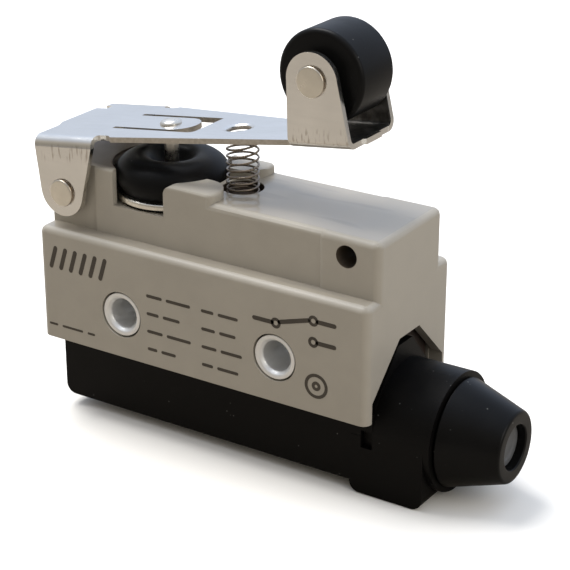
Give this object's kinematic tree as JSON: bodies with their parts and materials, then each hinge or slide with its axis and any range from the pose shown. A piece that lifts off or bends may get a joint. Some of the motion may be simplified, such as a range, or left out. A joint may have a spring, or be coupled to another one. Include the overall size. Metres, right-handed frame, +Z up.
{
  "type": "enclosed limit switch with hinge roller lever",
  "caption": "Horizontal enclosed limit switch: die-cast body with through holes, hinged roller lever on a return spring, rubber-booted plunger, black base cover and cable gland.",
  "frame": {"origin": "midway between the axes of the mounting holes, on the back mounting face", "axes": "+Y out of the back mounting face, +X from the hinge end to the cable end, +Z up towards the lever"},
  "size_m": [0.0721, 0.0216, 0.061],
  "materials": {
    "housing": "semi-gloss warm grey paint on a die-cast shell",
    "black": "satin black moulded plastic",
    "rubber": "smooth black rubber with soft highlights",
    "steel": "plated steel, fine grain",
    "spring": "drawn spring wire",
    "brass": "bare brass strip",
    "silver": "silver contact",
    "bakelite": "dark brown moulded insulating plastic",
    "nylon": "off-white nylon"
  },
  "bodies": {
    "enclosure": {"housing": "housing", "base_cover": "black", "cover_gasket": "rubber", "cover_screw_left": "steel", "cover_screw_right": "steel", "mounting_sleeve_left": "steel", "mounting_sleeve_right": "steel", "gland_cap": "black", "cable_seal": "rubber", "seal_washer": "steel", "entry_blank": "black", "guide_bush": "brass", "boot": "rubber", "boot_clamp_ring": "steel", "overtravel_spring": "spring", "switch_base": "bakelite", "switch_lid": "bakelite", "fixed_contact_closed": "silver", "fixed_contact_open": "silver", "terminal_common": "brass", "terminal_open": "brass", "terminal_closed": "brass", "terminal_screw_common": "steel", "terminal_screw_open": "steel", "terminal_screw_closed": "steel", "return_spring": "spring"},
    "lever": {"lever_plate": "steel", "tongue_stud": "steel", "hinge_pin": "steel", "roller_axle": "steel"},
    "roller": {"roller": "black"},
    "plunger": {"plunger": "steel"},
    "button": {"inner_button": "nylon"},
    "blade": {"snap_blade": "brass", "moving_contact": "silver"}
  },
  "joints": [
    {"name": "lever_hinge", "type": "hinge", "parent": "enclosure", "child": "lever", "pos_m": [-0.0233, -0.0108, 0.01555], "axis": [0, 1, 0], "range_deg": [0, 7], "stiffness_Nm_per_rad": 0.25, "springref_deg": -20.05, "deforming": ["return_spring"]},
    {"name": "roller_spin", "type": "hinge", "parent": "lever", "child": "roller", "pos_m": [0.01508, -0.0108, 0.03686], "axis": [0, 1, 0], "continuous": true},
    {"name": "plunger_slide", "type": "slide", "parent": "enclosure", "child": "plunger", "axis": [0, 0, -1], "range_m": [0, 0.0015], "deforming": ["overtravel_spring", "boot"]},
    {"name": "button_slide", "type": "slide", "parent": "enclosure", "child": "button", "axis": [0, 0, -1], "range_m": [0, 0.0002]},
    {"name": "blade_hinge", "type": "hinge", "parent": "enclosure", "child": "blade", "pos_m": [-0.0189, -0.0108, 0.0058], "axis": [0, 1, 0], "range_deg": [0, 1.5]}
  ],
  "couplings": [
    {"joint": "plunger_slide", "follows": "lever_hinge", "m_per_rad": 0.0122},
    {"joint": "button_slide", "follows": "lever_hinge", "m_per_rad": 0.0015},
    {"joint": "blade_hinge", "follows": "lever_hinge", "ratio": 0.2}
  ]
}
